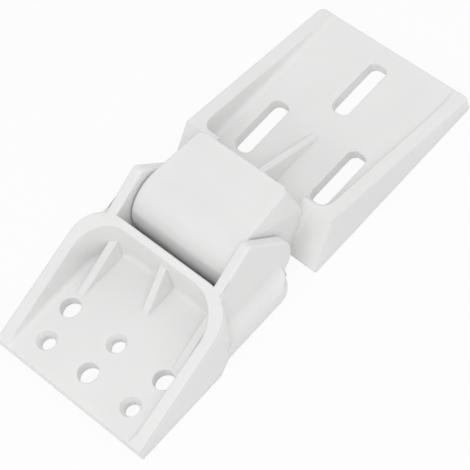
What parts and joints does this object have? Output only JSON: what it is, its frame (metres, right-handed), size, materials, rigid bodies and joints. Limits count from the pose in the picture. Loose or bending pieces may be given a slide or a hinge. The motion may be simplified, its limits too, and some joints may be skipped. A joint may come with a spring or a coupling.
{
  "type": "freezer door hinge",
  "caption": "Surface-mounted white plastic lid hinge: a wedge-shaped cabinet tray and a slotted lid tray turn on a steel pin in a wide barrel with a torsion spring inside.",
  "frame": {"origin": "bottom centre of the closed-flat hinge: on the plane of the two mounting faces, midway along its length and width", "axes": "+X along the pin, +Y from the cabinet leaf to the lid leaf, +Z away from the mounting faces"},
  "size_m": [0.065, 0.1554, 0.029],
  "materials": {
    "leaf_plastic": "satin moulded white",
    "pin_steel": "ground",
    "spool_plastic": "satin moulded grey",
    "spring_steel": "oiled drawn wire"
  },
  "bodies": {
    "cabinet": {"cabinet_leaf": "leaf_plastic", "hinge_pin": "pin_steel", "spring_spool": "spool_plastic", "counterbalance_spring": "spring_steel"},
    "lid": {"lid_leaf": "leaf_plastic"}
  },
  "joints": [
    {"name": "lid_hinge", "type": "hinge", "parent": "cabinet", "child": "lid", "pos_m": [0, -0.01075, 0.0128], "axis": [1, 0, 0], "range_deg": [0, 90]}
  ]
}
